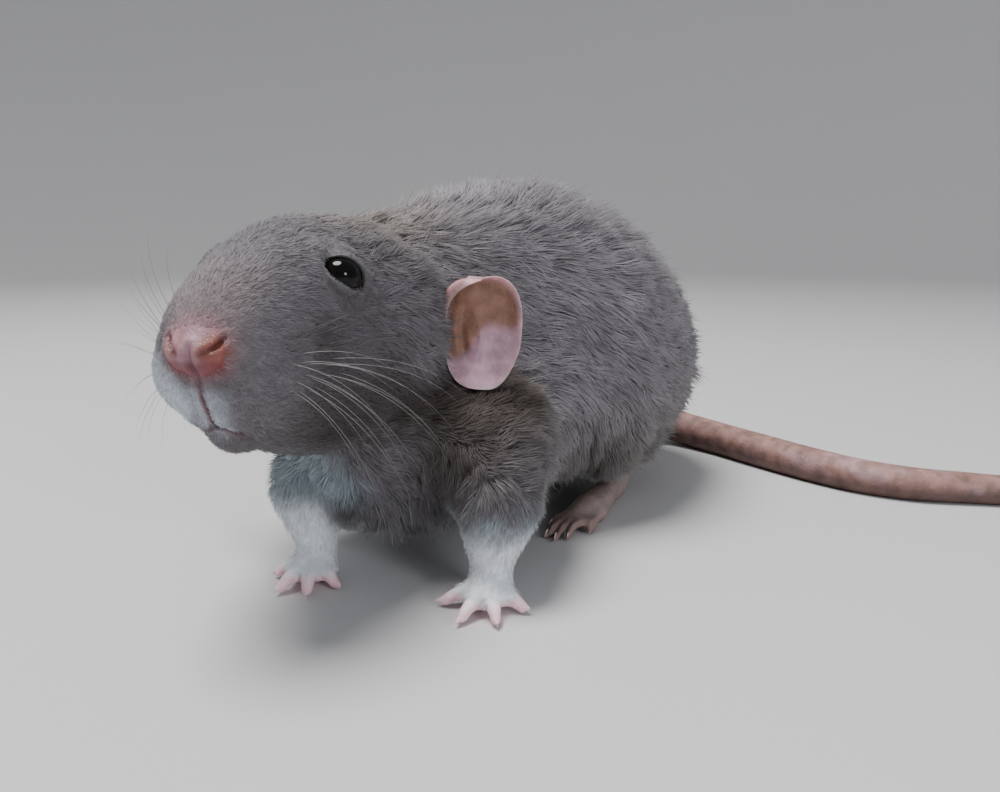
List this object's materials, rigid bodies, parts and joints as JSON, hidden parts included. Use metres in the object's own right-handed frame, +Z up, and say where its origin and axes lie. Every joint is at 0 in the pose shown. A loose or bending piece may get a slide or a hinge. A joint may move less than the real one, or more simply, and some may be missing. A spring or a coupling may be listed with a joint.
{
  "type": "rat figure",
  "caption": "Life-size still figure of a blue-grey pet rat with round low-set ears, standing on four feet with its head up and its tail laid to the side.",
  "frame": {"origin": "middle of the bounding box on the floor plane, under the soles of the feet", "axes": "+Z up, the rat faces -Y, its own left side is +X, and the tail lies over the floor towards +X"},
  "size_m": [0.215, 0.1605, 0.0733],
  "materials": {
    "coat": "short plush blue-grey fur, white on the chest, forelegs and chin",
    "foot_skin": "bare pink skin with fine creases, translucent at the toes",
    "ear_skin": "thin bare mauve-pink skin, brownish where light comes through",
    "tail_skin": "dull pinkish-brown skin in fine rings of scales with short hairs",
    "eye": "wet, glossy black"
  },
  "bodies": {
    "root": {"head": "coat", "neck": "coat", "torso": "coat", "foreleg_left": "coat", "foreleg_right": "coat", "hindleg_left": "coat", "hindleg_right": "coat", "forepaw_left": "foot_skin", "forepaw_right": "foot_skin", "hindfoot_left": "foot_skin", "hindfoot_right": "foot_skin", "ear_left": "ear_skin", "ear_right": "ear_skin", "eye_left": "eye", "eye_right": "eye", "tail_base": "tail_skin", "tail_middle": "tail_skin", "tail_end": "tail_skin", "tail_tip": "tail_skin"}
  },
  "joints": []
}
